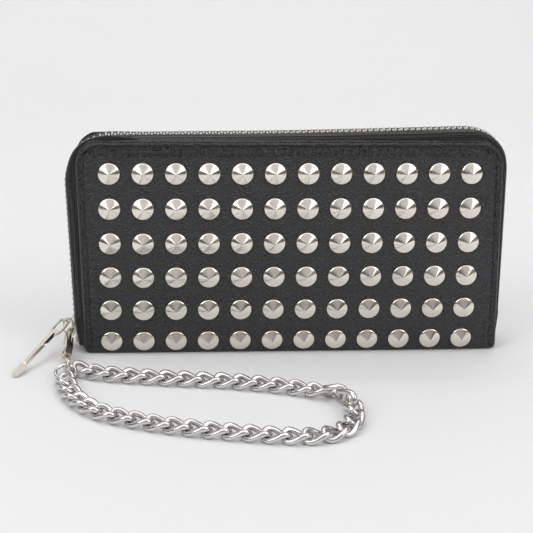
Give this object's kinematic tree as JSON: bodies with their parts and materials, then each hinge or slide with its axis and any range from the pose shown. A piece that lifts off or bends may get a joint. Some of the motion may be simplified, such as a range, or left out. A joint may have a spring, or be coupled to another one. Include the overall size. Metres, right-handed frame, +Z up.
{
  "type": "chain wallet",
  "caption": "Zip-around leather wallet with a studded front, card pockets, an inner zipped coin pocket and a wrist chain clipped to the zip slider.",
  "frame": {"origin": "middle of the spine's flat underside, on the surface that the wallet stands on", "axes": "+X along the spine, +Y from the studded cover to the plain one, +Z up from the spine to the zip"},
  "size_m": [0.2265, 0.1245, 0.1066],
  "materials": {
    "leather": "fine grained semi-matte black leather",
    "pocket_leather": "smooth matte black leather",
    "lining_cloth": "plain woven black lining",
    "zip_tape": "herringbone woven black tape",
    "padding": "grey felt padding",
    "board": "grey-brown fibre board",
    "stud_nickel": "polished warm nickel",
    "hardware_nickel": "polished warm nickel",
    "chain_nickel": "polished nickel",
    "zip_metal": "satin nickel"
  },
  "bodies": {
    "root": {"back_cover": "leather", "back_padding": "padding", "back_stiffener_board": "board", "back_lining": "lining_cloth", "back_card_pocket_1": "pocket_leather", "back_card_pocket_2": "pocket_leather", "back_card_pocket_3": "pocket_leather", "back_card_pocket_4": "pocket_leather", "zip_tape_back": "zip_tape", "zip_teeth_back": "zip_metal", "left_gusset_back": "lining_cloth", "right_gusset_back": "lining_cloth", "spine_leather": "leather", "spine_board": "board", "zip_top_stop": "zip_metal", "zip_end_tab": "leather", "wrist_chain": "chain_nickel"},
    "front_half": {"front_cover": "leather", "front_padding": "padding", "front_stiffener_board": "board", "front_lining": "lining_cloth", "front_card_pocket_1": "pocket_leather", "front_card_pocket_2": "pocket_leather", "front_card_pocket_3": "pocket_leather", "front_card_pocket_4": "pocket_leather", "zip_tape_front": "zip_tape", "zip_teeth_front": "zip_metal", "left_gusset_front": "lining_cloth", "right_gusset_front": "lining_cloth", "stud_row_1": "stud_nickel", "stud_row_2": "stud_nickel", "stud_row_3": "stud_nickel", "stud_row_4": "stud_nickel", "stud_row_5": "stud_nickel", "stud_row_6": "stud_nickel"},
    "coin_pocket": {"coin_pocket_bag": "lining_cloth", "coin_pocket_front": "pocket_leather", "coin_pocket_back": "pocket_leather", "coin_zip_tape": "zip_tape", "coin_zip_teeth": "zip_metal", "coin_zip_left_stop": "zip_metal", "coin_zip_right_stop": "zip_metal"},
    "coin_slider": {"coin_zip_slider": "zip_metal"},
    "coin_pull": {"coin_zip_pull": "zip_metal"},
    "zip_slider": {"zip_slider": "hardware_nickel"},
    "pull_tab": {"pull_tab": "hardware_nickel"},
    "clasp": {"clasp_body": "hardware_nickel", "clasp_pivot_pin": "hardware_nickel", "clasp_spring": "zip_metal", "chain_ring": "chain_nickel"},
    "clasp_gate": {"clasp_gate": "hardware_nickel"},
    "swivel_eye": {"swivel_eye": "hardware_nickel"}
  },
  "joints": [
    {"name": "cover_open", "type": "hinge", "parent": "root", "child": "front_half", "pos_m": [0, -0.01, 0.0008], "axis": [1, 0, 0], "range_deg": [0, 45]},
    {"name": "coin_pocket_swing", "type": "hinge", "parent": "root", "child": "coin_pocket", "pos_m": [0, -0.01, 0.0008], "axis": [1, 0, 0], "range_deg": [0, 22.5]},
    {"name": "coin_zip_slide", "type": "slide", "parent": "coin_pocket", "child": "coin_slider", "axis": [1, 0, 0], "range_m": [0, 0.15]},
    {"name": "coin_pull_swing", "type": "hinge", "parent": "coin_slider", "child": "coin_pull", "pos_m": [-0.076, 0, 0.0973], "axis": [0, 1, 0], "range_deg": [-85, 85]},
    {"name": "zip_slide", "type": "slide", "parent": "root", "child": "zip_slider", "axis": [-0.0388, 0, 0.9992], "range_m": [0, 0.06]},
    {"name": "pull_swing", "type": "hinge", "parent": "zip_slider", "child": "pull_tab", "pos_m": [-0.10615, 0, 0.012], "axis": [-0.8772, 0.4801, 0], "range_deg": [0, 50]},
    {"name": "clasp_swing", "type": "hinge", "parent": "zip_slider", "child": "clasp", "pos_m": [-0.104, 0, 0.008], "axis": [-0.9578, 0, -0.2873], "range_deg": [0, 8]},
    {"name": "gate_press", "type": "hinge", "parent": "clasp", "child": "clasp_gate", "pos_m": [-0.10302, -0.01206, 0.00772], "axis": [-0.9062, -0.062, 0.4183], "range_deg": [0, 14], "stiffness_Nm_per_rad": 0.004, "springref_deg": -8.59},
    {"name": "eye_swivel", "type": "hinge", "parent": "clasp", "child": "swivel_eye", "pos_m": [-0.1044, 0.0026, 0.0069], "axis": [0.0341, -0.9967, -0.0738], "range_deg": [-18, 18]}
  ],
  "couplings": [
    {"joint": "coin_pocket_swing", "follows": "cover_open", "ratio": 0.5}
  ]
}
